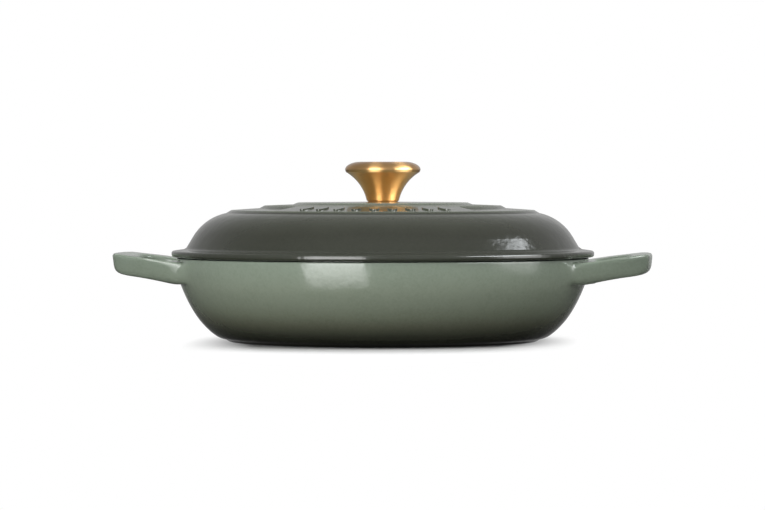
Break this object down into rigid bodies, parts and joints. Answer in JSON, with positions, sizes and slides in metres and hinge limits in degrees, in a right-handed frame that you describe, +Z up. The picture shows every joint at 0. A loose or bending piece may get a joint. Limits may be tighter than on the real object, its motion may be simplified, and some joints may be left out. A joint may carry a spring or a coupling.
{
  "type": "braiser",
  "caption": "Round shallow enamelled cast-iron braiser with loop handles and a stepped domed lid that lifts off, with a flared metal knob held by a screw.",
  "frame": {"origin": "on the floor under the middle of the pan, which stands on its foot ring", "axes": "+X through the middle of one handle, +Z up through the knob"},
  "size_m": [0.335, 0.2628, 0.1117],
  "materials": {
    "green_enamel": "gloss sage green enamel on cast iron, fading darker downwards",
    "pale_enamel": "gloss sand-coloured enamel",
    "black_coat": "matte black ground coat",
    "gold_steel": "satin gold-coloured stainless steel",
    "screw_steel": "plain stainless steel"
  },
  "bodies": {
    "pan": {"pan": "green_enamel", "pan_lining": "pale_enamel", "pan_rim_coat": "black_coat"},
    "lid": {"lid": "green_enamel", "lid_lining": "pale_enamel", "lid_rim_coat": "black_coat", "screw_washer": "screw_steel", "lock_washer": "screw_steel"},
    "knob": {"knob": "gold_steel"},
    "knob_screw": {"knob_screw": "screw_steel"}
  },
  "joints": [
    {"name": "lid_lift", "type": "slide", "parent": "pan", "child": "lid", "axis": [0, 0, 1], "range_m": [0, 0.15]},
    {"name": "knob_rise", "type": "slide", "parent": "lid", "child": "knob", "axis": [0, 0, 1], "range_m": [0, 0.01]},
    {"name": "screw_turn", "type": "hinge", "parent": "lid", "child": "knob_screw", "pos_m": [0, 0, 0.08], "axis": [0, 0, -1], "range_deg": [0, 3600]}
  ],
  "couplings": [
    {"joint": "screw_turn", "follows": "knob_rise", "rad_per_m": 6283.2}
  ]
}
